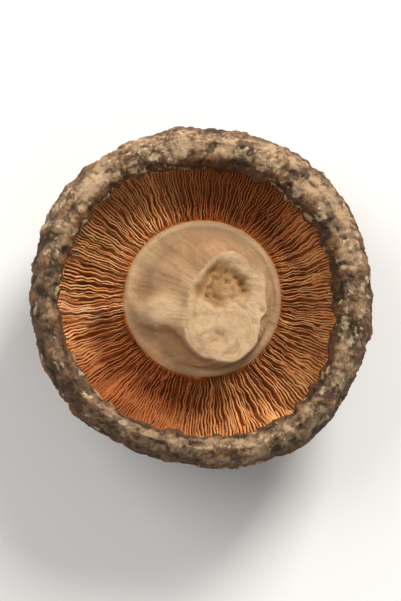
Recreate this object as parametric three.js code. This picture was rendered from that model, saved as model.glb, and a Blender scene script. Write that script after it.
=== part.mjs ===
// A dried shiitake mushroom, made as the one solid that it grew as: cap, inrolled rim, gills and trimmed stem.
// It lies on the crown of its cap, with its gills and its stem facing up.
// Units are millimetres and +Z is up. The origin is on the surface, under the middle of the cap.
import * as THREE from "three";

// Driving dimensions: radii from the cap's axis, and heights above the surface that the crown rests on.
const CAP_RADIUS = 25;
const CROWN_FLAT_RADIUS = 7; // the crown dried flat where it rests
const WIDEST_HEIGHT = 13.4;
const RIM_HEIGHT = 18.2;
const LIP_RADIUS = 20.1; // the inner edge of the rim, where the cap's skin ends
const LIP_HEIGHT = 14.8;
const GILL_BED_HEIGHT = 11;
const COLLAR_RADIUS = 11.5; // the stem's flared foot, where the gills end
const COLLAR_HEIGHT = 12.3;
const CUT_RADIUS = 6.7; // the stem was trimmed short, below the rim
const CUT_HEIGHT = 16.2;
const STEM_LEAN = new THREE.Vector2(3.5, -1.5); // how far the cut face sits from the cap's axis

// Gills: one ridge and one groove for each, so the whole solid has two columns of vertices for each gill.
const GILL_COUNT = 96;
const GILL_DEPTH = 1.3;
const COLUMNS = 2 * GILL_COUNT;

// The cap and the stem dried out of round: each wave is [how many times round, share of the radius, where it peaks].
const OUTLINE_WAVES = [
  [2, 0.012, -0.7],
  [3, 0.012, 1.1],
  [4, 0.012, 0.7],
];
const STEM_WAVES = [[2, 0.15, Math.PI / 2]]; // the cut face is an oval, longer along Y
const RIM_WAVES = [
  [2, 0.5, 0.6],
  [3, 0.4, 2.2],
  [5, 0.25, 0.3],
]; // millimetres of height
const LIP_SHIFT = 1.1; // the rim curls in this much further on one side, and less on the other
const LIP_SIDE = 0.3 * Math.PI; // the angle round the axis where it curls in furthest

// The half section, from the middle of the crown, round the rim, over the gills and up the stem to its cut face.
const SECTIONS = [
  { name: "crown", steps: 1, through: [[0, 0], [CROWN_FLAT_RADIUS, 0]] },
  {
    name: "skin",
    steps: 8,
    through: [
      [CROWN_FLAT_RADIUS, 0],
      [0.5 * CAP_RADIUS, 0.05 * RIM_HEIGHT],
      [0.7 * CAP_RADIUS, 0.19 * RIM_HEIGHT],
      [0.87 * CAP_RADIUS, 0.4 * RIM_HEIGHT],
      [CAP_RADIUS, WIDEST_HEIGHT],
      [0.975 * CAP_RADIUS, 0.91 * RIM_HEIGHT],
      [0.91 * CAP_RADIUS, RIM_HEIGHT],
    ],
  },
  {
    name: "rim",
    steps: 4,
    through: [
      [0.91 * CAP_RADIUS, RIM_HEIGHT],
      [0.84 * CAP_RADIUS, 0.975 * RIM_HEIGHT],
      [LIP_RADIUS, 0.5 * (RIM_HEIGHT + LIP_HEIGHT)],
      [LIP_RADIUS, LIP_HEIGHT],
    ],
  },
  {
    name: "gills",
    steps: 6,
    through: [
      [LIP_RADIUS, LIP_HEIGHT],
      [LIP_RADIUS + 0.4, LIP_HEIGHT - 1.5],
      [0.93 * LIP_RADIUS, GILL_BED_HEIGHT + 0.9],
      [0.5 * (LIP_RADIUS + COLLAR_RADIUS), GILL_BED_HEIGHT],
      [COLLAR_RADIUS, COLLAR_HEIGHT],
    ],
  },
  {
    name: "stem",
    steps: 5,
    through: [
      [COLLAR_RADIUS, COLLAR_HEIGHT],
      [0.88 * COLLAR_RADIUS, COLLAR_HEIGHT + 0.2],
      [1.3 * CUT_RADIUS, 0.5 * (COLLAR_HEIGHT + CUT_HEIGHT)],
      [1.06 * CUT_RADIUS, CUT_HEIGHT - 0.5],
      [CUT_RADIUS, CUT_HEIGHT],
    ],
  },
  { name: "cut face", steps: 1, through: [[CUT_RADIUS, CUT_HEIGHT], [0, CUT_HEIGHT]] },
];

// The profile's points, and for each the section that it lies in and how far along that section, from 0 to 1.
function profileRows() {
  const rows = [];
  for (const { name, steps, through } of SECTIONS) {
    const curve = new THREE.SplineCurve(through.map(([r, z]) => new THREE.Vector2(r, z)));
    const first = rows.length ? 1 : 0; // a section starts on the last point of the one before it
    for (let i = first; i <= steps; i++)
      rows.push({ point: curve.getPointAt(i / steps), section: name, along: i / steps });
  }
  return rows;
}

const waveSum = (waves, angle) =>
  waves.reduce((sum, [times, size, peak]) => sum + size * Math.cos(times * (angle - peak)), 0);

// Moves one lathed vertex to where it lies on the mushroom.
function shaped(point, row, column) {
  const angle = (column / COLUMNS) * 2 * Math.PI;
  const radius = Math.hypot(point.x, point.y);
  const toRim = THREE.MathUtils.smoothstep(radius, CROWN_FLAT_RADIUS, LIP_RADIUS);
  const toWidest = THREE.MathUtils.smoothstep(point.z, 0, WIDEST_HEIGHT);
  const upTheStem = ["stem", "cut face"].includes(row.section)
    ? THREE.MathUtils.clamp((point.z - COLLAR_HEIGHT) / (CUT_HEIGHT - COLLAR_HEIGHT), 0, 1)
    : 0;
  const outOfRound = 1 + waveSum(OUTLINE_WAVES, angle) * toRim + waveSum(STEM_WAVES, angle) * upTheStem;
  const lipShare = row.section === "rim" ? row.along : row.section === "gills" ? (1 - row.along) ** 2 : 0;
  const outward = radius * outOfRound - LIP_SHIFT * Math.cos(angle - LIP_SIDE) * lipShare;
  const groove = row.section === "gills" && column % 2 ? GILL_DEPTH * Math.sin(Math.PI * row.along) : 0;
  return new THREE.Vector3(
    outward * Math.cos(angle) + STEM_LEAN.x * upTheStem,
    outward * Math.sin(angle) + STEM_LEAN.y * upTheStem,
    point.z + waveSum(RIM_WAVES, angle) * toRim * toWidest - groove,
  );
}

function mushroomGeometry() {
  const rows = profileRows();
  const geometry = new THREE.LatheGeometry(rows.map((row) => row.point), COLUMNS);
  geometry.rotateX(Math.PI / 2); // a lathe turns its profile about Y
  const place = geometry.getAttribute("position");
  const point = new THREE.Vector3();
  for (let i = 0; i < place.count; i++) {
    const column = Math.floor(i / rows.length) % COLUMNS; // the last column is the first one again
    const moved = shaped(point.fromBufferAttribute(place, i), rows[i % rows.length], column);
    place.setXYZ(i, moved.x, moved.y, moved.z);
  }
  geometry.deleteAttribute("uv");
  geometry.computeBoundingBox();
  const middle = geometry.boundingBox.getCenter(new THREE.Vector3());
  geometry.translate(-middle.x, -middle.y, -geometry.boundingBox.min.z);
  geometry.computeVertexNormals();
  return geometry;
}

const driedFlesh = new THREE.MeshStandardMaterial({ color: 0x6a4a33, roughness: 0.75, metalness: 0 });
const mushroom = new THREE.Mesh(mushroomGeometry(), driedFlesh);
mushroom.name = "mushroom";

const part = new THREE.Group();
part.add(mushroom);

export default part;
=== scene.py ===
# %% [markdown]
# # A dried shiitake mushroom
#
# A shiitake grows as one thing: cap, gills and stem are the same flesh, so here they are one closed mesh.
# It lies on the crown of its cap, as it would on a table, and shows its gills and the cut end of its stem.
# The lesson goes from the plain form that the frame gives, through relief that is real geometry, to the
# materials, and ends with the light and the camera.

# %% Load the frame
import math

import bpy
import numpy as np
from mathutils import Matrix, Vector, noise


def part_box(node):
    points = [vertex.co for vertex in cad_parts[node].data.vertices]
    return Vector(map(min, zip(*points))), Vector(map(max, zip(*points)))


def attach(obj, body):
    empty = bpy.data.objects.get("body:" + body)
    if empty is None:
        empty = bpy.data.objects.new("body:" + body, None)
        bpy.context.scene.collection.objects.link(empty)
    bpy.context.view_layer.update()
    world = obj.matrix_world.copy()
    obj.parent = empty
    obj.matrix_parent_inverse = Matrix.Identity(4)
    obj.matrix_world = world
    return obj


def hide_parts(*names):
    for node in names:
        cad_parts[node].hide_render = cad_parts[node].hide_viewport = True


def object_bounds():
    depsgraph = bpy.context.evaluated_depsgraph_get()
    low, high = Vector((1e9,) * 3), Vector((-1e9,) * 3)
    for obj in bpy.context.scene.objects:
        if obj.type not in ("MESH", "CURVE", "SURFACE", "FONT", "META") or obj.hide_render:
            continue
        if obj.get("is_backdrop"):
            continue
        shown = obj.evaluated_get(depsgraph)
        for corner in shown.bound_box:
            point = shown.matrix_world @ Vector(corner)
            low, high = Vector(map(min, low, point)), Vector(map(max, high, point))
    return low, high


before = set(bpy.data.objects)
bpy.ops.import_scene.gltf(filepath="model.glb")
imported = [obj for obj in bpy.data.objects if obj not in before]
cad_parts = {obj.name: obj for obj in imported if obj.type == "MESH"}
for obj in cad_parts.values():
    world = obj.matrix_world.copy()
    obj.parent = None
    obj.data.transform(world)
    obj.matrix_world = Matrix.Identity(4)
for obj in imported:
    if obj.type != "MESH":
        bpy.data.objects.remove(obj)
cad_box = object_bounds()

MM = 0.001
print("nodes in the frame:", sorted(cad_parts))

# %% [markdown]
# ## Proportions
#
# The main lengths are in millimetres, and are shares of the frame's own width or height. If the part is
# ever made bigger, the mushroom follows it. Wrinkles, scales and fibres keep sizes of their own, because
# dried skin wrinkles alike on a small cap and on a large one. The cap is a bowl with an inrolled rim, and
# the gills line the bowl from the lip of the rim to the collar, where the stem's flared foot begins.

# %% The driving dimensions
low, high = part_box("mushroom")
WIDTH = (high.x - low.x) / MM
HEIGHT = (high.z - low.z) / MM

CAP_RADIUS = 0.5053 * WIDTH  # the box is a touch narrower than the mean cap, because the outline waves
CROWN_FLAT_RADIUS = 0.28 * CAP_RADIUS
WIDEST_HEIGHT = 0.698 * HEIGHT
RIM_HEIGHT = 0.948 * HEIGHT
LIP_RADIUS = 0.804 * CAP_RADIUS
LIP_HEIGHT = 0.771 * HEIGHT
GILL_BED_HEIGHT = 0.573 * HEIGHT
COLLAR_RADIUS = 0.46 * CAP_RADIUS
COLLAR_HEIGHT = 0.641 * HEIGHT
CUT_RADIUS = 0.268 * CAP_RADIUS
CUT_HEIGHT = 0.844 * HEIGHT
STEM_LEAN = (0.14 * CAP_RADIUS, -0.06 * CAP_RADIUS)
LIP_SHIFT = 0.044 * CAP_RADIUS  # the rim curls in this much further on one side, and less on the other
LIP_SIDE = 0.3 * math.pi  # the angle round the axis where it curls in furthest

print(f"cap {2 * CAP_RADIUS:.1f} mm across and {HEIGHT:.1f} mm tall")
print(f"stem {2 * CUT_RADIUS:.1f} mm across at its cut")

# %% [markdown]
# ## The half section
#
# A lathe turns a half section about an axis. The section here is cut into named stretches, because each
# stretch has its own skin, its own relief and its own number of columns. Each runs as a Catmull-Rom spline
# through a few points, and is then divided into even steps along its length, so that no face is stretched.

# %% The stretches of the section
SECTIONS = {
    "crown": [(0, 0), (CROWN_FLAT_RADIUS, 0)],
    "skin": [
        (CROWN_FLAT_RADIUS, 0),
        (0.5 * CAP_RADIUS, 0.05 * RIM_HEIGHT),
        (0.7 * CAP_RADIUS, 0.19 * RIM_HEIGHT),
        (0.87 * CAP_RADIUS, 0.4 * RIM_HEIGHT),
        (CAP_RADIUS, WIDEST_HEIGHT),
        (0.975 * CAP_RADIUS, 0.91 * RIM_HEIGHT),
        (0.91 * CAP_RADIUS, RIM_HEIGHT),
    ],
    "rim": [
        (0.91 * CAP_RADIUS, RIM_HEIGHT),
        (0.84 * CAP_RADIUS, 0.975 * RIM_HEIGHT),
        (LIP_RADIUS, 0.5 * (RIM_HEIGHT + LIP_HEIGHT)),
        (LIP_RADIUS, LIP_HEIGHT),
    ],
    "gills": [
        (LIP_RADIUS, LIP_HEIGHT),
        (1.02 * LIP_RADIUS, LIP_HEIGHT - 0.078 * HEIGHT),
        (0.93 * LIP_RADIUS, GILL_BED_HEIGHT + 0.047 * HEIGHT),
        (0.5 * (LIP_RADIUS + COLLAR_RADIUS), GILL_BED_HEIGHT),
        (COLLAR_RADIUS, COLLAR_HEIGHT),
    ],
    "stem": [
        (COLLAR_RADIUS, COLLAR_HEIGHT),
        (0.88 * COLLAR_RADIUS, COLLAR_HEIGHT + 0.01 * HEIGHT),
        (1.3 * CUT_RADIUS, 0.5 * (COLLAR_HEIGHT + CUT_HEIGHT)),
        (1.06 * CUT_RADIUS, CUT_HEIGHT - 0.026 * HEIGHT),
        (CUT_RADIUS, CUT_HEIGHT),
    ],
    "cut": [(CUT_RADIUS, CUT_HEIGHT), (0, CUT_HEIGHT)],
}
NAMES = list(SECTIONS)
ROW_STEP = {"crown": 0.6, "skin": 0.4, "rim": 0.28, "gills": 0.36, "stem": 0.27, "cut": 0.28}  # millimetres
print(len(NAMES), "stretches:", ", ".join(NAMES))

# %% A spline to run them
CURVE_SAMPLES = 600  # enough to measure along a curve


def spline(through, step):
    """Even steps along a Catmull-Rom curve: its points, and how far along each one is in millimetres."""
    points = np.array(through, float)
    padded = np.vstack([points[:1], points, points[-1:]])
    place = np.linspace(0, len(points) - 1, CURVE_SAMPLES)
    span = np.minimum(place.astype(int), len(points) - 2)
    t = (place - span)[:, None]
    a, b, c, d = (padded[span + k] for k in range(4))
    curve = 0.5 * (2 * b + (c - a) * t + (2 * a - 5 * b + 4 * c - d) * t**2 + (3 * b - a - 3 * c + d) * t**3)
    walked = np.concatenate([[0], np.cumsum(np.linalg.norm(np.diff(curve, axis=0), axis=1))])
    even = np.linspace(0, walked[-1], math.ceil(walked[-1] / step) + 1)
    return np.column_stack([np.interp(even, walked, curve[:, k]) for k in (0, 1)]), even


# %% [markdown]
# ## Rings of vertices
#
# Gills need hundreds of columns, but the middle of the crown needs only a few. So each ring of vertices has
# its own count of columns, and a ring may have a whole number of times as many as its neighbour. Fans of
# triangles join two such rings, and the mesh stays closed with no vertex hanging in the middle of an edge.

# %% How many columns a ring has
BLADES = 288  # two full gills and a short one, by turns
BLADE_COLUMNS = 4  # a gill's two feet and the two shoulders of its edge
GILL_COLUMNS = BLADE_COLUMNS * BLADES
FEWEST_COLUMNS = 12
NARROWEST_FACE = 0.22  # millimetres


def columns_at(section, radius):
    """How many columns a ring has: four for each gill, and fewer where the detail is coarser."""
    if section == "gills":
        return GILL_COLUMNS
    if section == "stem":
        return GILL_COLUMNS // 3
    if section in ("skin", "rim"):
        return GILL_COLUMNS // (2 if radius > 0.45 * CAP_RADIUS else 6)
    count = GILL_COLUMNS // 6  # the crown and the cut: half as many each time that the faces get too narrow
    while count > FEWEST_COLUMNS and 2 * math.pi * radius / count < NARROWEST_FACE:
        count //= 2
    return count


# %% Lay out the rings
rings = []
for section, through in SECTIONS.items():
    points, walked = spline(through, ROW_STEP[section])
    first = 0 if section == "crown" else 1  # a stretch starts on the last ring of the one before it
    start = rings[-1]["walked"] if rings else 0
    for (radius, height), distance in list(zip(points, walked))[first:]:
        rings.append({
            "section": NAMES.index(section),
            "along": distance / walked[-1],
            "walked": start + distance,
            "radius": radius,
            "height": height,
            "count": columns_at(section, radius) if radius > 1e-6 else 1,
        })

print(len(rings), "rings from the middle of the crown to the middle of the cut")

# %% What each vertex knows of its ring
counts = np.array([ring["count"] for ring in rings])
starts = np.concatenate([[0], np.cumsum(counts)])
ring_of = np.repeat(np.arange(len(rings)), counts)
column = np.arange(starts[-1]) - starts[ring_of]
ring_facts = ("section", "along", "walked", "radius", "height")
section_of, along, walked, radius, height = (
    np.array([ring[fact] for ring in rings])[ring_of] for fact in ring_facts
)
angle = 2 * math.pi * column / counts[ring_of]


def inside(*names):
    """Which vertices lie in these stretches of the section."""
    return np.isin(section_of, [NAMES.index(name) for name in names])


print(len(angle), "vertices, of them", inside("gills").sum(), "on the gills")

# %% Join the rings with triangles


def fan(few, many):
    """Corners (0 for the ring with fewer columns or 1, column) of the triangles between two rings."""
    times = many // few
    corners = []
    for step in range(times):
        near = step >= times / 2  # the later half of the fan hangs on the next column
        corners.append([(0, near), (1, step + 1), (1, step)])
    corners.append([(0, 0), (0, 1), (1, math.ceil(times / 2))])
    base = np.array(corners, int)
    columns = np.arange(few)[:, None, None]
    side = np.broadcast_to(base[None, :, :, 0], (few, *base.shape[:2]))
    place = np.where(side == 0, columns + base[None, :, :, 1], columns * times + base[None, :, :, 1])
    return side.reshape(-1, 3), place.reshape(-1, 3)


def between(ring):
    """The triangles from one ring to the next, as rings and columns that aren't wrapped round yet."""
    a, b = counts[ring], counts[ring + 1]
    if a == 1 or b == 1:  # a pole: every triangle meets in the one vertex
        many = np.arange(max(a, b))
        pole = np.zeros_like(many)
        side = np.column_stack([pole, pole + 1, pole + 1])
        place = np.column_stack([pole, many + 1, many])
    else:
        side, place = fan(min(a, b), max(a, b))
    if a > b:  # the ring with fewer columns is the later one, so both the sides and the winding turn round
        side, place = 1 - side[:, ::-1], place[:, ::-1]
    return ring + side, place


stacks = [between(ring) for ring in range(len(rings) - 1)]
face_rings = np.vstack([stack[0] for stack in stacks])
face_columns = np.vstack([stack[1] for stack in stacks])
faces = starts[face_rings] + face_columns % counts[face_rings]
print(len(faces), "triangles")

# %% [markdown]
# ## Out of round
#
# Nothing that dries stays round. Long waves pull the outline a little out of round and lift and drop the
# rim, the rim curls in further on one side, and the stem leans away from the cap's axis and has an oval cut.

# %% Long waves
# Each wave is how many times it goes round, its share of the radius, and the angle of a peak.
OUTLINE_WAVES = [(2, 0.012, -0.7), (3, 0.012, 1.1), (4, 0.012, 0.7)]
STEM_WAVES = [(2, 0.15, math.pi / 2)]
RIM_WAVES = [(2, 0.5, 0.6), (3, 0.4, 2.2), (5, 0.25, 0.3)]  # millimetres of height instead of a share


def wave_sum(waves, angles):
    return sum(size * np.cos(times * (angles - peak)) for times, size, peak in waves)


def ramp(value, start, end):
    """0 before start and 1 after end, with a smooth rise between. It falls if start is the larger."""
    share = np.clip((value - start) / (end - start), 0, 1)
    return share * share * (3 - 2 * share)


# %% The plain form
def plain_form(angles):
    """The smooth mushroom, with each vertex at the given angle round the axis."""
    to_rim = ramp(radius, CROWN_FLAT_RADIUS, LIP_RADIUS)
    to_widest = ramp(height, 0, WIDEST_HEIGHT)
    above_collar = (height - COLLAR_HEIGHT) / (CUT_HEIGHT - COLLAR_HEIGHT)
    up_stem = np.where(inside("stem", "cut"), above_collar, 0).clip(0, 1)
    round_share = 1 + wave_sum(OUTLINE_WAVES, angles) * to_rim + wave_sum(STEM_WAVES, angles) * up_stem
    lip_share = np.where(inside("rim"), along, np.where(inside("gills"), (1 - along) ** 2, 0))
    outward = radius * round_share - LIP_SHIFT * np.cos(angles - LIP_SIDE) * lip_share
    return np.column_stack([
        outward * np.cos(angles) + STEM_LEAN[0] * up_stem,
        outward * np.sin(angles) + STEM_LEAN[1] * up_stem,
        height + wave_sum(RIM_WAVES, angles) * to_rim * to_widest,
    ])


# %% Place it in the frame
def mesh_from(points, name):
    mesh = bpy.data.meshes.new(name)
    mesh.from_pydata((points * MM).tolist(), [], faces.tolist())
    mesh.update()
    return mesh


def normals_of(points):
    """The outward direction at each vertex, read from a throwaway mesh."""
    mesh = mesh_from(points, "normals")
    found = np.zeros(3 * len(points), np.float32)
    mesh.vertices.foreach_get("normal", found)
    bpy.data.meshes.remove(mesh)
    return found.reshape(-1, 3).astype(float)


form = plain_form(angle)
middle = 0.5 * (form.min(axis=0) + form.max(axis=0))
frame_middle = 0.5 * np.array(low + high) / MM
to_frame = np.array([*(frame_middle - middle)[:2], low.z / MM - form[:, 2].min()])
print("the plain form moves by", to_frame.round(3), "mm to sit in the frame")

# %% [markdown]
# ## Noise as a craftsman's tool
#
# Blender's own noise gives relief that never repeats and is the same at each run. `field` makes soft lumps
# of a chosen size. `creases` makes a net of thin lines, where such a field crosses zero, which is how
# leathery skin wrinkles as it shrinks. `cells` splits the surface into flakes, each with a chance value of
# its own. Noise is alike everywhere, so `bell` and `on_side` say where on the mushroom a thing is.

# %% Three kinds of noise
def bell(distance, width):
    """1 where the distance is 0, fading to 0 at about twice the width."""
    return np.exp(-((distance / width) ** 2))


SEED_SHIFT = 31.7  # far enough along the noise to look like another one


def field(points, size, octaves=3, seed=0):
    """Soft lumps from about -1 to 1, of about this size. The size may differ along each axis."""
    at = points / np.array(size) + SEED_SHIFT * seed
    return np.array([noise.fractal(p, 1.0, 2.0, octaves) for p in at.tolist()])


def creases(points, size, width, seed=0):
    """A net of thin lines, 1 in the middle of a line and 0 between them."""
    return bell(field(points, size, 2, seed), width)


def cells(points, size, seed=0):
    """For each point how far inside its flake it is, from 0 at the edge, and that flake's chance value."""
    at = points / np.array(size) + SEED_SHIFT * seed
    found = [noise.voronoi(p) for p in at.tolist()]
    inner = np.array([distances[1] - distances[0] for distances, _ in found])
    centres = np.array([tuple(spots[0]) for _, spots in found])
    scrambled = np.sin(centres @ np.array([12.99, 78.23, 37.72])) * 4375.85  # the usual hash of a place
    return inner, np.modf(np.abs(scrambled))[0]


# %% Places to read noise at, and sides of the mushroom
def edge_ring(angles):
    """A place on a circle at the lip, so that what is read there changes only round the axis."""
    return np.column_stack([np.cos(angles), np.sin(angles), 0 * angles]) * LIP_RADIUS


def unrolled(angles, turns, distance, stretch):
    """A place where noise makes streaks that run along the section and close up all the way round."""
    return np.column_stack([np.cos(angles) * turns, np.sin(angles) * turns, distance / stretch])


def on_side(angles, degrees, narrow):
    """1 at this angle round the axis, fading to 0 away from it."""
    return np.exp(narrow * (np.cos(angles - math.radians(degrees)) - 1))


# %% [markdown]
# ## The cap's skin
#
# The skin was wet and full when it grew, and the flesh under it shrank. So it stands in pillows with tight
# creases between them, over broad lumps and folds. Some creases run out to the rim as furrows, the wrinkles
# of the margin follow the rim round, and a fine net covers it all. Torn scales are what is left of the veil,
# and are thickest near the rim. A sculptor would brush this in by hand. Here each kind of wrinkle is a noise
# of its own, so that each can be made larger or deeper without the others. Where the crown lies on the table
# the relief only goes inwards, so the mushroom still rests on a flat face.

# %% Find the skin and its places
def blank():
    """One number for each vertex, 0 to begin with."""
    return np.zeros(len(angle))


relief = blank()  # how high the surface stands within its own relief, for painted shade in its creases and painted light on what stands proud
fleck = blank()  # 1 on a pale scale, and on the pale fold in the gills
lift = blank()  # millimetres along the normal

skin = inside("crown", "skin", "rim")
place = form[skin]
skin_angle, skin_walked = angle[skin], walked[skin]
off_table = ramp(radius[skin], CROWN_FLAT_RADIUS, 1.6 * CROWN_FLAT_RADIUS)
off_table = np.where(height[skin] > 0.3 * HEIGHT, 1, off_table)
rim_walked = next(ring["walked"] for ring in rings if ring["section"] == NAMES.index("rim"))
near_rim = ramp(skin_walked, 0.55 * rim_walked, 0.95 * rim_walked)
print(f"the skin runs {rim_walked:.1f} mm from the middle of the crown to the top of the rim")

# %% Lumps, pillows and creases
LUMP_SIZE = 9  # millimetres, as are the sizes below
SHRINK_SIZE = 6
PILLOW_SIZE = 3.4
NET_SIZE = 1.2
GRIT_SIZE = 0.8
lumps = field(place, LUMP_SIZE, 2, seed=1)
folds = field(unrolled(skin_angle, 3.6, skin_walked, 15), 1, 3, seed=2)
pleats = field(unrolled(skin_angle, 8, skin_walked, 7), 1, 3, seed=9)
shrunk = 0.4 + 0.6 * ramp(field(place, SHRINK_SIZE, 2, seed=16), -0.4, 0.4)  # how much the flesh shrank
pillows = np.abs(field(place, PILLOW_SIZE, 2, seed=3))
netted = creases(place, PILLOW_SIZE, 0.12, seed=3)  # tight creases that run every way, between the pillows
furrowed = creases(unrolled(skin_angle, 8, skin_walked, 7), 1, 0.1, seed=17)  # and some that run to the rim
wrinkles = shrunk * np.maximum(netted, furrowed)
fine_net = creases(place, NET_SIZE, 0.14, seed=4)
grit = field(place, GRIT_SIZE, 3, seed=5)
print(f"creases cross {(wrinkles > 0.3).mean():.0%} of the skin's vertices")

# %% Wrinkles along the margin, and the crease where it turns in
TURN_WIDTH = 0.45  # millimetres
margin = near_rim * field(unrolled(skin_angle, 5, skin_walked, 0.9), 1, 3, seed=26)
turn_line = skin_walked - rim_walked - 0.4 + 1.2 * field(edge_ring(skin_angle), 4, 2, seed=20)
turn = bell(turn_line, TURN_WIDTH)
turn *= ramp(field(edge_ring(skin_angle), 7, 2, seed=24), -0.35, 0.2)  # broken here and there
print(f"the crease wanders by {np.ptp(turn_line - skin_walked):.1f} mm")

# %% Torn scales
SCALE_SIZE = (1.6, 1.6, 1.2)  # millimetres round the rim, and along the section
SCALE_CLUSTERS = [(104, 0.45, 60), (124, 0.4, 60), (147, 0.45, 50)]  # degrees round, share more, narrowness
around_rim = unrolled(skin_angle, 0.8 * CAP_RADIUS, skin_walked, 1) + 0.5 * grit[:, None]
scale_inner, scale_chance = cells(around_rim, SCALE_SIZE, seed=6)
scale_share = 0.06 + 0.2 * near_rim + 0.3 * field(place, 5, 2, seed=7)
for degrees, more, narrow in SCALE_CLUSTERS:
    scale_share += near_rim * more * on_side(skin_angle, degrees, narrow)
scales = (scale_chance < scale_share) * ramp(scale_inner, 0.02, 0.45)
fleck[skin] = scales
print(f"scales cover {(scales > 0.5).mean():.0%} of the skin's vertices")

# %% Add up the relief of the skin
PILLOW_RISE = 1.1  # millimetres, as are the next five
CREASE_DEPTH = 0.38
MARGIN_RISE = 0.16
NET_DEPTH = 0.13
SCALE_RISE = 0.1
TURN_DEPTH = 0.3
lift[skin] = off_table * (0.35 * lumps + 0.25 * folds + (0.12 + 0.2 * near_rim) * pleats + 0.07 * grit)
lift[skin] += off_table * (PILLOW_RISE - 0.6 * near_rim) * shrunk * (pillows - 0.25)
lift[skin] += off_table * (SCALE_RISE * scales - TURN_DEPTH * turn)
lift[skin] -= off_table * (CREASE_DEPTH - 0.16 * near_rim) * wrinkles
lift[skin] += MARGIN_RISE * margin
lift[skin] -= (0.25 + 0.75 * off_table) * NET_DEPTH * fine_net
# the colours get painted shade in the creases and where the rim turns in, and painted light on the pillows
relief[skin] = 0.2 * (lumps + folds) + 0.3 * grit + 0.4 * pleats * near_rim + 0.7 * margin
relief[skin] += 2.6 * shrunk * (pillows - 0.2) - 0.6 * wrinkles - 0.55 * fine_net - 0.6 * turn
relief[skin] += 0.5 * near_rim * on_side(skin_angle, 135, 6)  # painted light: the rim is lighter on this side
print(f"skin relief from {lift[skin].min():.2f} to {lift[skin].max():.2f} mm")

# %% Tones of the rim
rim_tone = blank()  # 1 on the pale margin, weathered and painted light on the rim's top; -1 with painted shade where it turns in
rim_tone[skin] = ramp(skin_walked, 0.86 * rim_walked, 0.97 * rim_walked)
# painted shade: the margin is less pale on two sides
rim_tone[skin] *= 1 - 0.65 * on_side(skin_angle, 205, 2.5) - 0.45 * on_side(skin_angle, 0, 1.5)
turned_in = inside("rim")
rim_tone[turned_in] -= 2 * ramp(along[turned_in], 0.2, 0.8)
print(f"rim tones from {rim_tone.min():.1f} to {rim_tone.max():.1f}")

# %% [markdown]
# ## The rim's lip
#
# The rim ends in a thin torn lip that hangs over the gills. Short waves make it crinkle, and noise along the
# edge makes it ragged. Both fade out away from the lip, so the outer outline keeps its shape.

# %% Crinkle the lip
LIP_WAVES = [(26, 0.16, 0.4), (41, 0.1, 1.9), (17, 0.14, 2.6)]  # times round, millimetres, peak
lip_pull = blank()  # millimetres towards the axis
gill_fade = np.where(inside("gills"), ramp(along, 0.2, 0), 0)
lip_fade = np.where(inside("rim"), ramp(along, 0.25, 1), gill_fade)
near_lip = lip_fade > 0
ragged = wave_sum(LIP_WAVES, angle[near_lip]) + 0.5 * field(edge_ring(angle[near_lip]), 1.7, 3, seed=8)
lip_pull[near_lip] = lip_fade[near_lip] * ragged
print(f"the lip moves by up to {np.abs(lip_pull).max():.2f} mm")

# %% [markdown]
# ## The gills
#
# A gill is a thin blade. Each stands up from the bed with two walls and an edge, so it needs four columns
# of vertices: two feet and two shoulders. The floor of a valley lies between one gill's foot and the next
# one's. Full gills run from the lip to the collar. A short one starts at the lip between two pairs of full
# ones and fades out on the way. Drying makes them wave, lean on each other in clumps and tear at the edge,
# and that is where the streaky look comes from, helped by painted light on the gills that stand higher and
# painted shade on those that sit lower. In one place a few of them dried stuck together in a pale fold.
# Painted shade in a darker red-brown lies where the rim and the stem shade them, and painted light on one
# side.

# %% Draw lots for each gill
chance = np.random.default_rng(11)
jitter = chance.uniform(-0.07, 0.07, BLADES)
blade_height = chance.normal(1, 0.13, BLADES).clip(0.7, 1.25)
is_short = np.arange(BLADES) % 3 == 2
short_end = chance.uniform(0.25, 0.85, BLADES)
full_end = chance.uniform(0.93, 1.05, BLADES)
inner_end_of = np.where(is_short, short_end, full_end)
blade_tint = chance.uniform(-1, 1, BLADES)
print(BLADES, "gills,", is_short.sum(), "of them short")

# %% Lay the gills out
#             foot  shoulder shoulder foot, in shares of the distance to the next gill
ACROSS = np.array([-0.38, -0.22, 0.22, 0.38])
ON_EDGE = np.array([0, 1, 1, 0])

gills = inside("gills")
gill_along, gill_walked, bed_radius = along[gills], walked[gills], radius[gills]
blade, slot = np.divmod(column[gills], BLADE_COLUMNS)
blade_angle = 2 * math.pi * (blade + 0.375) / BLADES  # the middle of its four columns

shared_wave = field(unrolled(blade_angle, 4, gill_walked, 5), 1, 2, seed=13)
crinkle = field(unrolled(blade_angle, 13, gill_walked, 1.3), 1, 2, seed=18)
clump = field(unrolled(blade_angle, 10, gill_walked, 8), 1, 2, seed=14)
own_wave = field(np.column_stack([3.7 * blade, gill_walked / 1.6, 0 * gill_walked]), 1, 2, seed=12)

across = ACROSS[slot] + jitter[blade] + 0.17 * own_wave + 0.8 * clump * ON_EDGE[slot]
wave_out = 0.45 * shared_wave + 0.26 * crinkle
laid_out = blade_angle + 2 * math.pi * across / BLADES + wave_out / bed_radius
formed = ramp(gill_along, 0, 0.08) * ramp(gill_along, 1, 0.97)
gill_angle = angle.copy()
gill_angle[gills] += formed * (laid_out - angle[gills])
print(f"gills wave sideways by up to {np.abs(wave_out).max():.2f} mm")

# %% Stand the gills up
GILL_DEPTH = 0.042 * HEIGHT
STUCK_ANGLE = math.radians(183)  # a few gills dried stuck together here, in one pale fold
STUCK_WIDTH = 0.035  # radians
hummocks = field(unrolled(blade_angle, 4, gill_walked, 4), 1, 2, seed=19)
torn = field(np.column_stack([5.3 * blade, gill_walked / 0.8, 0 * gill_walked]), 1, 2, seed=15)
stuck = formed * bell(blade_angle - STUCK_ANGLE - 0.06 * gill_along, STUCK_WIDTH)

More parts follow.
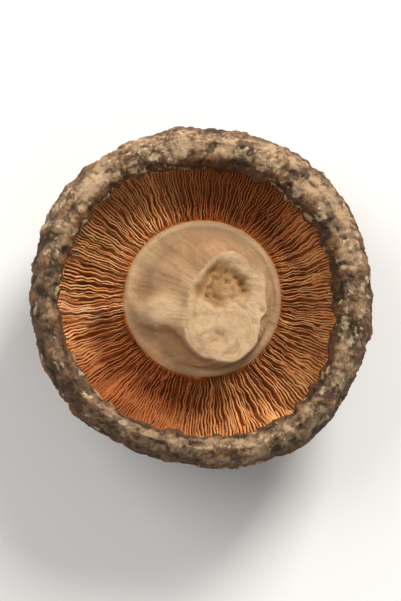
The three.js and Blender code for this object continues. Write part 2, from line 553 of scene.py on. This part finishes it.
depth = GILL_DEPTH * ramp(gill_along, 0, 0.12) * ramp(gill_along, 1, 0.93)
reach = ramp(gill_along, inner_end_of[blade] + 0.06, inner_end_of[blade] - 0.04)
stand = reach * (blade_height[blade] + 0.5 * clump + 0.3 * torn) * np.where(is_short[blade], 0.85, 1)
lift[gills] = depth * (ON_EDGE[slot] * stand - 1) + 0.5 * hummocks * formed + 0.4 * stuck
print(f"gills {GILL_DEPTH:.1f} mm deep")

# %% Tones of the gills
gill_edge = blank()  # 0 in a valley and 1 on a gill's edge
gill_edge[gills] = ON_EDGE[slot] * reach
fleck[gills] = stuck
tint_and_painted_light = blank()  # above 0 where a gill is paler: partly its own tone, partly painted light where gills stand higher and painted shade where they sit lower
tint_and_painted_light[gills] = 0.4 * blade_tint[blade] + 0.9 * clump + 0.6 * hummocks + 0.6 * stuck

painted_gill_shading = blank()  # painted shade in darker red-brown where the rim and the stem shade the gills; below 0 painted light
by_stem = ramp(gill_along, 0.3, 0.65)
painted_gill_shading[gills] = 1.1 * on_side(blade_angle, 70, 4) + on_side(blade_angle, 235, 4) * (1.0 + 0.25 * by_stem)
# painted light: lighter on this side
painted_gill_shading[gills] -= 0.25 * on_side(blade_angle, 165, 4)
painted_gill_shading[gills] += 0.5 * ramp(gill_along, 0.88, 1) + 0.3 * ramp(gill_along, 0.12, 0)  # painted shade where they join the collar and under the lip
print(f"{(painted_gill_shading[gills] > 0.5).mean():.0%} of the gills' vertices are browned")

# %% [markdown]
# ## The stem and its cut
#
# The stem is a bundle of fibres. They show as fine ridges up its side, and the foot ends in a pale raised
# bead where the gills were joined to it, with a groove inside it. Beside the cut the side stands up in a
# pale shoulder, and below the shoulder it fell in to a dent. The cut face is flesh: it sank as it dried, and
# an arched hollow with small fissures opened in it. Places on the stem are given to the east (+X) and the
# north (+Y) of the cap's axis, in shares of the cap's radius, because they belong to this one cut and don't
# repeat round it.

# %% Fibres, bead and groove
stem = inside("stem")
stem_angle, stem_along, stem_walked = angle[stem], along[stem], walked[stem]
east, north = form[stem, 0] / CAP_RADIUS, form[stem, 1] / CAP_RADIUS
GROOVE_SIDE = math.radians(150)  # the groove inside the bead is deepest here
fibres = field(unrolled(stem_angle, 7, stem_walked, 9), 1, 3, seed=21)
fine_fibres = field(unrolled(stem_angle, 19, stem_walked, 6), 1, 2, seed=22)
dents = field(form[stem], 3.5, 2, seed=23)
bead = bell(stem_along - 0.1, 0.08) * (1 + 0.3 * dents)
groove = bell(stem_along - 0.32, 0.1) * (0.6 + 0.4 * np.cos(stem_angle - GROOVE_SIDE))
print("the stem's side has", stem.sum(), "vertices")

# %% The shoulder, and the dent below it
SHOULDER_TOP = CUT_HEIGHT - 0.03 * HEIGHT
SHOULDER_DROP = 0.07 * HEIGHT  # how far it slopes down to the west
DENT_FLOOR = COLLAR_HEIGHT + 0.035 * HEIGHT
dent_line = north + 0.15 * east + 0.035 * dents + 0.03 * field(form[stem], 1.6, 2, seed=25)
dent = ramp(dent_line, -0.205, -0.245) * ramp(east, 0.08, -0.04)
dent *= ramp(stem_along, 1, 0.85) * ramp(stem_along, 0.14, 0.3)
shoulder = ramp(np.hypot((east + 0.264) / 0.235, (north + 0.085) / 0.15) + 0.15 * dents, 1.05, 0.25)
shoulder *= ramp(stem_along, 0.06, 0.25)
shoulder_top = SHOULDER_TOP - SHOULDER_DROP * ramp(east, -0.15, -0.42)

lift[stem] = (1 - 0.6 * shoulder) * (0.07 * fibres + 0.04 * fine_fibres)
lift[stem] += 0.2 * dents + 0.3 * bead - 0.25 * groove
rise = blank()  # millimetres straight up
rise[stem] = shoulder * (1 - dent) * (shoulder_top - form[stem, 2]).clip(0)
rise[stem] -= dent * (form[stem, 2] - DENT_FLOOR).clip(0)
print(f"the shoulder rises {rise.max():.1f} mm and the dent falls {-rise.min():.1f} mm")

# %% Tones of the stem
stain = bell(np.hypot((east + 0.32) / 0.09, (north - 0.04) / 0.05), 1)  # a brown patch above the shoulder
# painted shade: darker in the groove and in the dent
relief[stem] = 0.5 * dents + (1 - shoulder) * 0.25 * fibres - 0.1 * dent - 0.4 * groove - 0.8 * stain
relief[stem] -= 0.55 * (1 - shoulder) * on_side(stem_angle, 80, 2.5)  # darker on this side
bead_painted_shadow = on_side(stem_angle, 230, 10)  # painted shadow: by the dent the bead is darkened like the dent
ring_bead = blank()
ring_bead[stem] = bead * (1 - bead_painted_shadow)
pale = inside("cut").astype(float)  # how pale the flesh is: the cut face, the shoulder beside it, and painted light in the dent
border = 0.5 * ramp(stem_along, 0.7, 1) * (1 - on_side(stem_angle, 75, 3))
pale[stem] = np.maximum(0.9 * shoulder * (1 - 0.5 * ramp(east, -0.26, -0.4)), border) * (1 - dent)
# painted light: the dent is paler to the west, to lighten the cut's shadow in it
pale[stem] += 0.55 * dent * ramp(east, -0.05, -0.18)
stain_and_shade = blank()  # warmer brown on a stain above the shoulder and on one side, and painted shade in the dent and the bead by it
stain_and_shade[stem] = 0.7 * on_side(stem_angle, 95, 4) * ramp(stem_along, 0.35, 0.6) + 0.6 * stain
stain_and_shade[stem] = np.maximum(stain_and_shade[stem], dent) + bead * bead_painted_shadow
print(f"{(stain_and_shade[stem] > 0.5).mean():.0%} of the stem's side is stained")

# %% The hollow in the cut, and a faint pit
ARCH_PLACE = (STEM_LEAN[0] - 0.038 * CAP_RADIUS, STEM_LEAN[1] + 0.088 * CAP_RADIUS)
ARCH_RADIUS = 0.12 * CAP_RADIUS
ARCH_WIDTH = 0.034 * CAP_RADIUS
PIT_PLACE = (STEM_LEAN[0] - 0.045 * CAP_RADIUS, STEM_LEAN[1] - 0.18 * CAP_RADIUS)
PIT_WIDTH = 1.3  # millimetres
cut = inside("cut")
cut_place, to_middle = form[cut], along[cut]
cut_noise = field(cut_place, 2.2, 3, seed=31)
arch_east, arch_north = cut_place[:, 0] - ARCH_PLACE[0], cut_place[:, 1] - ARCH_PLACE[1]
from_arch = np.hypot(arch_east, arch_north) + 0.5 * cut_noise
arch = bell(from_arch - ARCH_RADIUS, ARCH_WIDTH) * ramp(arch_north, -0.6 * ARCH_RADIUS, 0)
under_arch = ramp(from_arch, ARCH_RADIUS, 0.6 * ARCH_RADIUS)
stalk = bell(arch_east - 0.35 * ARCH_RADIUS, ARCH_WIDTH) * ramp(arch_north, 0.7 * ARCH_RADIUS, 0)
from_pit = np.hypot(cut_place[:, 0] - PIT_PLACE[0], 1.6 * (cut_place[:, 1] - PIT_PLACE[1]))
hollow = blank()
hollow[cut] = np.maximum(arch, 0.9 * under_arch * (1 - 0.5 * stalk)) + 0.4 * bell(from_pit, PIT_WIDTH)
print(f"the hollow is about {2 * ARCH_RADIUS:.1f} mm across")

# %% Relief of the cut face
fissures = creases(cut_place, 1.9, 0.1, seed=32)
pits = cells(cut_place, 0.9, seed=33)[0]
knot_inner, knot_chance = cells(cut_place, 1.7, seed=34)
knots = (knot_chance < 0.2) * ramp(knot_inner, 0.1, 0.6)
lift[cut] = 0.12 * cut_noise - 0.25 * ramp(to_middle, 0, 0.5) - 0.58 * hollow[cut] - 0.2 * knots
lift[cut] -= fissures * (0.06 + 0.4 * hollow[cut]) + 0.06 * (1 - ramp(pits, 0, 0.25))
# painted shade in the fissures and on the sunken knots
relief[cut] = 0.4 * cut_noise - 0.4 * fissures - 0.6 * knots
relief[cut] -= 0.5 * ramp(to_middle, 0.5, 0.1) * on_side(angle[cut], 235, 2)  # a darker edge by the dent
print(f"the hollow is {-lift[cut].min():.2f} mm deep")

# %% The cut's uneven outline
trimmed = inside("stem", "cut")
to_border = np.where(inside("stem"), ramp(along, 0.55, 1), ramp(along, 0.5, 0))[trimmed]
ring_place = edge_ring(angle[trimmed]) * CUT_RADIUS / LIP_RADIUS
cut_pull = blank()  # millimetres from the cut's middle, so that the cut isn't a neat oval
cut_pull[trimmed] = 0.9 * field(ring_place, 4.5, 2, seed=35)
cut_pull[trimmed] += 1.1 * on_side(angle[trimmed], 218, 6) - 0.4 * on_side(angle[trimmed], 315, 5)
cut_pull[trimmed] *= to_border
print(f"the cut's edge moves by {cut_pull.min():.1f} to {cut_pull.max():.1f} mm")

# %% [markdown]
# ## One closed mesh
#
# The relief is added along the normals of the plain form, which is what a Displace modifier does. Doing it
# here keeps the gills upright and lets the crown stay flat. What the materials need to know about each
# vertex, such as whether it is on a gill's edge, is stored on the mesh as named attributes.

# %% Build the mushroom
outward = normals_of(form)
body = plain_form(gill_angle) + outward * lift[:, None]
towards_axis = -np.column_stack([np.cos(gill_angle), np.sin(gill_angle), 0 * gill_angle])
body += towards_axis * (lip_pull - cut_pull)[:, None]
body[:, 2] += rise
body += to_frame
body[:, 2] = np.maximum(body[:, 2], low.z / MM)

dried_shiitake = bpy.data.objects.new("dried_shiitake", mesh_from(body, "dried_shiitake"))
bpy.context.scene.collection.objects.link(dried_shiitake)
mesh = dried_shiitake.data
print(f"the mushroom has {len(mesh.vertices)} vertices")


# %% Keep what the materials need to know
def store(name, values):
    """Keeps one number, or one place, for each vertex on the mesh."""
    kind, key = ("FLOAT", "value") if values.ndim == 1 else ("FLOAT_VECTOR", "vector")
    layer = mesh.attributes.new(name, kind, "POINT")
    layer.data.foreach_set(key, np.ascontiguousarray(values, np.float32).ravel())


KEPT = {
    "relief": relief,
    "fleck": fleck,
    "gill_edge": gill_edge,
    "tint_and_painted_light": tint_and_painted_light,
    "painted_gill_shading": painted_gill_shading,
    "hollow": hollow,
    "bead": ring_bead,
    "pale": pale,
    "stain_and_shade": stain_and_shade,
    "rim_tone": rim_tone,
    "grain": unrolled(gill_angle, 8, walked, 6),
}
for name, values in KEPT.items():
    store(name, values)
print("each vertex keeps its", ", ".join(KEPT))

# %% [markdown]
# ## A flat map for baking
#
# A game or web viewer wants the colours as a flat image, so the surface needs a map. The outside of the cap
# and the stem flatten well as discs. The gills don't, because their walls stand straight up: they are laid
# out as long strips, with each wall as wide on the map as it is on the mushroom.

# %% Plan the map: strips for the gills, and a disc each for the outside and the stem
STRIPS = 6
STRIP_TALL = 0.082  # shares of the map, as are the sizes below
GAP = 0.008
GILL_TOP = STRIPS * (STRIP_TALL + GAP) + GAP
DISC_TALL = 1 - GILL_TOP - 2 * GAP
DISC_MIDDLE = GILL_TOP + GAP + DISC_TALL / 2
OUTER_DISC = (0.31, DISC_MIDDLE, 0.30, DISC_TALL / 2)  # its middle and its half size, across and up
STEM_DISC = (0.81, DISC_MIDDLE, 0.18, DISC_TALL / 2)


def disc(spot, share, angles):
    """Places on a disc of the map, at this share of the way out from its middle."""
    across_middle, up_middle, half_across, half_up = spot
    return np.stack([
        across_middle + half_across * share * np.cos(angles),
        up_middle + half_up * share * np.sin(angles),
    ], axis=-1)


def gill_strips():
    """The rings of the gills, and how far along the strips each column is, by the walls' true widths."""
    rows = np.flatnonzero(counts == GILL_COLUMNS)
    grid = body[starts[rows][:, None] + np.arange(GILL_COLUMNS)]
    steps = np.linalg.norm(np.diff(grid, axis=1, append=grid[:, :1]), axis=2).mean(axis=0)
    return rows, np.concatenate([[0], np.cumsum(steps) / steps.sum()])


# %% Lay out the map
gill_rows, gill_share = gill_strips()
ring_walked = np.array([ring["walked"] for ring in rings])
corner_walked = ring_walked[face_rings]
corner_angle = 2 * math.pi * face_columns / counts[face_rings]

first_gill, last_gill = gill_rows[0], gill_rows[-1]
outer_end, stem_start = ring_walked[first_gill], ring_walked[last_gill]
on_outer = face_rings.max(axis=1) <= first_gill
on_stem = face_rings.min(axis=1) >= last_gill
on_gills = ~on_outer & ~on_stem

corner_map = np.zeros((*faces.shape, 2))
corner_map[on_outer] = disc(OUTER_DISC, corner_walked[on_outer] / outer_end, corner_angle[on_outer])
to_tip = (ring_walked[-1] - corner_walked[on_stem]) / (ring_walked[-1] - stem_start)
corner_map[on_stem] = disc(STEM_DISC, to_tip, corner_angle[on_stem])

strip_columns = GILL_COLUMNS // STRIPS
strip = face_columns[on_gills].min(axis=1) // strip_columns
strip_start = gill_share[strip * strip_columns][:, None]
strip_wide = gill_share[(strip + 1) * strip_columns][:, None] - strip_start
strip_across = (gill_share[face_columns[on_gills]] - strip_start) / strip_wide
strip_up = (corner_walked[on_gills] - outer_end) / (stem_start - outer_end)
corner_map[on_gills] = np.stack([
    GAP + (1 - 2 * GAP) * strip_across,
    GAP + strip[:, None] * (STRIP_TALL + GAP) + STRIP_TALL * strip_up,
], axis=-1)

uv = mesh.uv_layers.new(name="OFBake")
uv.data.foreach_set("uv", corner_map.astype(np.float32).ravel())
print("map from", corner_map.min().round(3), "to", corner_map.max().round(3))

# %% [markdown]
# ## Effects that the materials share
#
# Three materials share three effects, so each effect is a node group. `Uneven drying` blends three colours
# in soft patches. `Crease shade` paints shade on what lies deep and paints light on what stands proud.
# `Dried grain` makes the finest roughness, too small for geometry, as a height for a Bump node.

# %% Helpers for nodes
def put(tree, kind, inputs=None, **settings):
    """Adds a node, gives it its settings, and fills its inputs with links, numbers or colours."""
    made = tree.nodes.new(kind)
    for name, value in settings.items():
        setattr(made, name, value)
    for name, value in (inputs or {}).items():
        if isinstance(value, bpy.types.NodeSocket):
            tree.links.new(value, made.inputs[name])
        else:
            made.inputs[name].default_value = (*value, 1) if isinstance(value, tuple) else value
    return made


def maths(tree, operation, a, b=0.0, clamp=False):
    return put(tree, "ShaderNodeMath", {0: a, 1: b}, operation=operation, use_clamp=clamp).outputs[0]


def mixed(tree, share, a, b, mode="MIX"):
    """Colour a turning into colour b as share goes from 0 to 1."""
    inputs = {0: share, 6: a, 7: b}  # by number, because its colours share their names with other sockets
    return put(tree, "ShaderNodeMix", inputs, data_type="RGBA", blend_type=mode).outputs[2]


def spread(tree, value, start, end, low_value=0.0, high_value=1.0):
    """A value from low_value to high_value as it goes from start to end, smoothly."""
    inputs = {"Value": value, "From Min": start, "From Max": end, "To Min": low_value, "To Max": high_value}
    return put(tree, "ShaderNodeMapRange", inputs, interpolation_type="SMOOTHSTEP").outputs[0]


def attribute(tree, name, output="Fac"):
    return put(tree, "ShaderNodeAttribute", attribute_name=name).outputs[output]


# %% Helpers for node groups
def new_group(name, inputs, outputs):
    """An empty node group with these sockets: its tree, its inputs by name, and its output node."""
    tree = bpy.data.node_groups.new(name, "ShaderNodeTree")
    for direction, sockets in (("INPUT", inputs), ("OUTPUT", outputs)):
        for socket_name, kind in sockets.items():
            tree.interface.new_socket(name=socket_name, in_out=direction, socket_type="NodeSocket" + kind)
    return tree, tree.nodes.new("NodeGroupInput").outputs, tree.nodes.new("NodeGroupOutput").inputs


def use_group(tree, group, inputs):
    """Places a node group in a material, with links, numbers or colours for its inputs."""
    return put(tree, "ShaderNodeGroup", inputs, node_tree=group).outputs


# %% Uneven drying: three colours in soft patches
def uneven_drying():
    tree, given, result = new_group(
        "Uneven drying",
        {"Place": "Vector", "Patch": "Float", "Dark": "Color", "Middle": "Color", "Pale": "Color"},
        {"Color": "Color", "Patches": "Float"},
    )
    broad = put(tree, "ShaderNodeTexNoise", {
        "Vector": given["Place"], "Scale": given["Patch"], "Detail": 3.0, "Roughness": 0.55,
    }).outputs[0]
    fine_scale = maths(tree, "MULTIPLY", given["Patch"], 4.3)
    fine = put(tree, "ShaderNodeTexNoise", {
        "Vector": given["Place"], "Scale": fine_scale, "Detail": 4.0, "Roughness": 0.65,
    }).outputs[0]
    both = maths(tree, "ADD", maths(tree, "MULTIPLY", broad, 0.55), maths(tree, "MULTIPLY", fine, 0.45))
    dark_to_middle = mixed(tree, spread(tree, both, 0.4, 0.5), given["Dark"], given["Middle"])
    colour = mixed(tree, spread(tree, both, 0.52, 0.64), dark_to_middle, given["Pale"])
    tree.links.new(colour, result["Color"])
    tree.links.new(both, result["Patches"])
    return tree


# %% Crease shade: painted shade where it lies deep, painted light where it stands proud
def crease_shade():
    tree, given, result = new_group(
        "Crease shade",
        {
            "Color": "Color", "Relief": "Float",
            "Crease": "Color", "Crease share": "Float", "Painted light share": "Float",
        },
        {"Color": "Color"},
    )
    # painted shade on what lies deep, and painted light on what stands proud
    deep = maths(tree, "MULTIPLY", spread(tree, given["Relief"], -0.1, -0.75), given["Crease share"])
    proud = maths(tree, "MULTIPLY", spread(tree, given["Relief"], 0.15, 1.0), given["Painted light share"])
    shaded = mixed(tree, deep, given["Color"], given["Crease"])
    lighter = mixed(tree, 1.0, shaded, (2.1, 2.0, 1.85), mode="MULTIPLY")
    tree.links.new(mixed(tree, proud, shaded, lighter), result["Color"])
    return tree


# %% Dried grain: the finest roughness, as a height
def dried_grain():
    tree, given, result = new_group(
        "Dried grain", {"Place": "Vector", "Grain": "Float"}, {"Height": "Float", "Specks": "Float"}
    )
    pitted = put(tree, "ShaderNodeTexVoronoi", {
        "Vector": given["Place"], "Scale": given["Grain"],
    }, feature="F1").outputs["Distance"]
    fibrous = put(tree, "ShaderNodeTexNoise", {
        "Vector": given["Place"], "Scale": maths(tree, "MULTIPLY", given["Grain"], 0.8), "Detail": 5.0,
    }).outputs[0]
    tree.links.new(maths(tree, "ADD", maths(tree, "MULTIPLY", pitted, 0.4), fibrous), result["Height"])
    tree.links.new(spread(tree, fibrous, 0.52, 0.66), result["Specks"])
    return tree


UNEVEN_DRYING, CREASE_SHADE, DRIED_GRAIN = uneven_drying(), crease_shade(), dried_grain()

# %% [markdown]
# ## Three finishes of one flesh
#
# The skin is dark grey-brown leather with tan patches and cream scales. The gills are translucent amber, and
# deep red-brown in the valleys, partly their own colour and partly painted shade; their edges carry a
# painted highlight, and some stretches carry painted shade where the rim and the stem shade them. The stem
# and its cut are felt-like and pale. Each is a Principled BSDF with its colour and grain from the shared
# effects. The gills and the stem also let a little light into the flesh, which the dark skin hardly does.

# %% A material with its shader ready
def new_finish(name, **sockets):
    material = bpy.data.materials.new(name)
    material.use_nodes = True
    tree = material.node_tree
    shader = tree.nodes["Principled BSDF"]
    for socket, value in sockets.items():
        shader.inputs[socket.replace("_", " ")].default_value = value
    place = put(tree, "ShaderNodeTexCoord").outputs["Object"]
    return material, tree, shader, place


def finish_with(tree, shader, colour, roughness, height, bump_mm, strength=1.0):
    bump = put(tree, "ShaderNodeBump", {"Height": height, "Distance": bump_mm * MM, "Strength": strength})
    tree.links.new(colour, shader.inputs["Base Color"])
    tree.links.new(roughness, shader.inputs["Roughness"])
    tree.links.new(bump.outputs["Normal"], shader.inputs["Normal"])


# %% The cap's skin
def cap_skin():
    material, tree, shader, place = new_finish("cap_skin", Specular_IOR_Level=0.25)
    drying = use_group(tree, UNEVEN_DRYING, {
        "Place": place, "Patch": 300.0,
        "Dark": (0.055, 0.026, 0.011), "Middle": (0.108, 0.052, 0.022), "Pale": (0.205, 0.11, 0.05),
    })
    shaded = use_group(tree, CREASE_SHADE, {
        "Color": drying["Color"], "Relief": attribute(tree, "relief"),
        "Crease": (0.025, 0.013, 0.007), "Crease share": 0.85, "Painted light share": 0.65,
    })["Color"]
    grain = use_group(tree, DRIED_GRAIN, {"Place": place, "Grain": 2200.0})
    rim_tone = attribute(tree, "rim_tone")
    in_patches = spread(tree, drying["Patches"], 0.43, 0.58, 0.1, 0.95)
    # the pale margin: weathered, with painted light on the rim's top and painted shade on two sides
    wear_and_painted_light = maths(tree, "MULTIPLY", spread(tree, rim_tone, 0.0, 1.0), in_patches)
    weathered_and_painted_light = mixed(tree, wear_and_painted_light, shaded, (0.45, 0.3, 0.175))
    # painted shade on the side that turns in to the gills
    turned_in_painted_shade = spread(tree, rim_tone, 0.0, -1.0, 0.0, 0.6)
    turned_in = mixed(tree, turned_in_painted_shade, weathered_and_painted_light, (0.09, 0.044, 0.021))
    torn = maths(tree, "MULTIPLY", grain["Specks"], 0.35)
    scales = spread(tree, maths(tree, "ADD", attribute(tree, "fleck"), torn), 0.3, 1.0, 0.0, 0.85)
    scale_colour = mixed(tree, grain["Specks"], (0.37, 0.27, 0.155), (0.58, 0.45, 0.28))
    colour = mixed(tree, scales, turned_in, scale_colour)
    roughness = spread(tree, drying["Patches"], 0.3, 0.7, 0.6, 0.85)
    finish_with(tree, shader, colour, roughness, grain["Height"], 0.12)
    return material


# %% The gills
def gill_flesh():
    material, tree, shader, place = new_finish(
        "gill_flesh", Specular_IOR_Level=0.2,
        Subsurface_Weight=0.35, Subsurface_Scale=0.4 * MM, Subsurface_Radius=(1.0, 0.4, 0.15),
    )
    streaks = use_group(tree, UNEVEN_DRYING, {
        "Place": attribute(tree, "grain", "Vector"), "Patch": 1.3,
        "Dark": (0.42, 0.155, 0.043), "Middle": (0.64, 0.305, 0.112), "Pale": (0.76, 0.455, 0.215),
    })
    painted_shading_share = attribute(tree, "painted_gill_shading")
    # painted light on one side, then painted shade in red-brown where the rim and the stem shade the gills
    painted_lighter = mixed(tree, spread(tree, painted_shading_share, 0.0, -0.3), streaks["Color"], (0.64, 0.35, 0.14))
    painted_gill_shading = mixed(tree, spread(tree, painted_shading_share, 0.0, 1.0), painted_lighter, (0.26, 0.05, 0.006))
    edge = attribute(tree, "gill_edge")
    # painted shade in the valleys between gills, and a painted highlight on their edges
    painted_valley_shade = mixed(tree, spread(tree, edge, 0.05, 0.75), (0.38, 0.125, 0.028), painted_gill_shading)
    painted_edge_highlight = mixed(tree, spread(tree, edge, 0.9, 1.0, 0.0, 0.18), painted_valley_shade, (0.66, 0.38, 0.16))
    shaded = use_group(tree, CREASE_SHADE, {
        "Color": painted_edge_highlight, "Relief": attribute(tree, "tint_and_painted_light"),
        "Crease": (0.26, 0.075, 0.015), "Crease share": 0.65, "Painted light share": 0.18,
    })["Color"]
    fold_share = maths(tree, "MULTIPLY", attribute(tree, "fleck"), 0.55)
    folded = mixed(tree, fold_share, shaded, (0.78, 0.5, 0.29))
    grain = use_group(tree, DRIED_GRAIN, {"Place": place, "Grain": 2600.0})
    roughness = spread(tree, streaks["Patches"], 0.3, 0.7, 0.6, 0.8)
    finish_with(tree, shader, folded, roughness, grain["Height"], 0.06)
    return material


# %% The stem and its cut
def stem_flesh():
    material, tree, shader, place = new_finish(
        "stem_flesh", Subsurface_Weight=0.2, Subsurface_Scale=0.6 * MM, Subsurface_Radius=(1.0, 0.6, 0.35),
    )
    felt = use_group(tree, UNEVEN_DRYING, {
        "Place": place, "Patch": 260.0,
        "Dark": (0.335, 0.188, 0.088), "Middle": (0.38, 0.228, 0.112), "Pale": (0.43, 0.272, 0.14),
    })
    mottling = spread(tree, felt["Patches"], 0.4, 0.6)
    cut_colour = mixed(tree, mottling, (0.48, 0.315, 0.168), (0.57, 0.385, 0.215))
    flesh = mixed(tree, attribute(tree, "pale"), felt["Color"], cut_colour)
    shaded = use_group(tree, CREASE_SHADE, {
        "Color": flesh, "Relief": attribute(tree, "relief"),
        "Crease": (0.22, 0.125, 0.058), "Crease share": 0.6, "Painted light share": 0.08,
    })["Color"]
    # warmer brown on the stain, with painted shade in the dent and on the bead beside it
    warmer = mixed(tree, 1.0, shaded, (0.94, 0.8, 0.7), mode="MULTIPLY")
    stain_and_shade = mixed(tree, attribute(tree, "stain_and_shade"), shaded, warmer)
    bead_share = maths(tree, "MULTIPLY", attribute(tree, "bead"), 0.7)
    ringed = mixed(tree, bead_share, stain_and_shade, (0.46, 0.31, 0.16))
    hollow_share = maths(tree, "MULTIPLY", attribute(tree, "hollow"), 0.95)
    hollowed = mixed(tree, hollow_share, ringed, (0.27, 0.122, 0.028))
    grain = use_group(tree, DRIED_GRAIN, {"Place": place, "Grain": 3000.0})
    roughness = spread(tree, felt["Patches"], 0.3, 0.7, 0.75, 0.9)
    finish_with(tree, shader, hollowed, roughness, grain["Height"], 0.06)
    return material


# %% Give each stretch its finish
FINISHES = {"skin": cap_skin(), "gills": gill_flesh(), "stem": stem_flesh()}
FINISH_OF = {"crown": "skin", "skin": "skin", "rim": "skin", "gills": "gills", "stem": "stem", "cut": "stem"}
for material in FINISHES.values():
    mesh.materials.append(material)
finish_numbers = np.array([list(FINISHES).index(FINISH_OF[name]) for name in NAMES])
face_section = np.array([ring["section"] for ring in rings])[face_rings.max(axis=1)]
mesh.polygons.foreach_set("material_index", finish_numbers[face_section].astype(np.int32))
mesh.polygons.foreach_set("use_smooth", np.ones(len(faces), bool))
print("finishes:", ", ".join(FINISHES))

# %% [markdown]
# ## Into the frame
#
# The mesh rides on the part's one body and stands for its one plain solid.

# %% Ride on the frame
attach(dried_shiitake, "root")
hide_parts("mushroom")

# %% [markdown]
# ## Table, light and camera
#
# The mushroom lies on a plain pale table. The key is a soft light from the upper right, low enough for the
# rim to shade the gills on that side. A larger fill from the upper left and a weak bounce from the near side
# open its shadows, and the pale world lights the rest. The camera looks nearly straight down through a long
# lens, which keeps the round cap round.

# %% The table
TABLE_REACH = 40 * WIDTH * MM
CORNERS = ((-1, -1), (1, -1), (1, 1), (-1, 1))
table_mesh = bpy.data.meshes.new("table")
table_mesh.from_pydata([(x * TABLE_REACH, y * TABLE_REACH, low.z) for x, y in CORNERS], [], [(0, 1, 2, 3)])
table = bpy.data.objects.new("table", table_mesh)
bpy.context.scene.collection.objects.link(table)
paper = bpy.data.materials.new("pale_table")
paper.use_nodes = True
paper.node_tree.nodes["Principled BSDF"].inputs["Base Color"].default_value = (0.86, 0.86, 0.85, 1)
paper.node_tree.nodes["Principled BSDF"].inputs["Roughness"].default_value = 0.9
table_mesh.materials.append(paper)
table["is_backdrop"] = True
print(f"the table is {2 * TABLE_REACH:.1f} m wide")


# %% The lights
def soft_light(name, azimuth, elevation, distance, size, watts, colour):
    """A square area light that looks at the mushroom. Azimuth 0 is +X and 90 is +Y."""
    lamp = bpy.data.lights.new(name, "AREA")
    lamp.size, lamp.energy, lamp.color = size, watts, colour
    light = bpy.data.objects.new(name, lamp)
    a, e = math.radians(azimuth), math.radians(elevation)
    towards = Vector((math.cos(a) * math.cos(e), math.sin(a) * math.cos(e), math.sin(e)))
    light.location = Vector((0, 0, high.z / 2)) + distance * towards
    light.rotation_euler = towards.to_track_quat("Z", "Y").to_euler()
    bpy.context.scene.collection.objects.link(light)
    print(f"{name}: {watts} W from {azimuth} degrees round and {elevation} degrees up")


soft_light("key", azimuth=60, elevation=32, distance=0.5, size=0.2, watts=3.3, colour=(1, 0.96, 0.91))
soft_light("fill", azimuth=150, elevation=45, distance=0.6, size=0.4, watts=1.6, colour=(1, 0.97, 0.93))
soft_light("bounce", azimuth=290, elevation=40, distance=0.6, size=0.4, watts=0.4, colour=(1, 0.97, 0.93))
WORLD_STRENGTH = 0.27
world = bpy.data.worlds.new("pale_room")
world.use_nodes = True
world.node_tree.nodes["Background"].inputs["Color"].default_value = (1, 1, 1, 1)
world.node_tree.nodes["Background"].inputs["Strength"].default_value = WORLD_STRENGTH
bpy.context.scene.world = world
bpy.context.scene.view_settings.view_transform = "Standard"
print(f"the world lights the rest, at a strength of {WORLD_STRENGTH}")

# %% The camera
CAMERA_ELEVATION = math.radians(84)
CAMERA_DISTANCE = 12 * WIDTH * MM
FRAME_SHARE = 0.84  # how much of the render's width the cap takes
lens = bpy.data.cameras.new("camera")
lens.sensor_fit = "HORIZONTAL"
lens.lens = lens.sensor_width * CAMERA_DISTANCE * FRAME_SHARE / (WIDTH * MM)
lens.clip_end = 100
camera = bpy.data.objects.new("camera", lens)
target = Vector((0, 0, (low.z + high.z) / 2))
view_from = Vector((0, -math.cos(CAMERA_ELEVATION), math.sin(CAMERA_ELEVATION)))
camera.location = target + CAMERA_DISTANCE * view_from
camera.rotation_euler = view_from.to_track_quat("Z", "Y").to_euler()
bpy.context.scene.collection.objects.link(camera)
bpy.context.scene.camera = camera
print(f"the camera is {CAMERA_DISTANCE:.2f} m away, with a {lens.lens:.0f} mm lens")

# %% [markdown]
# ## Check the size and finish
#
# Looks must not change the part's size, so the visual model's box is compared with the CAD box.

# %% Compare both boxes and finish
visual_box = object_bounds()
past = [abs(v - c) / MM for cad, visual in zip(cad_box, visual_box) for c, v in zip(cad, visual)]
print(f"no side of the visual model is over {max(past):.2f} mm from the CAD box")
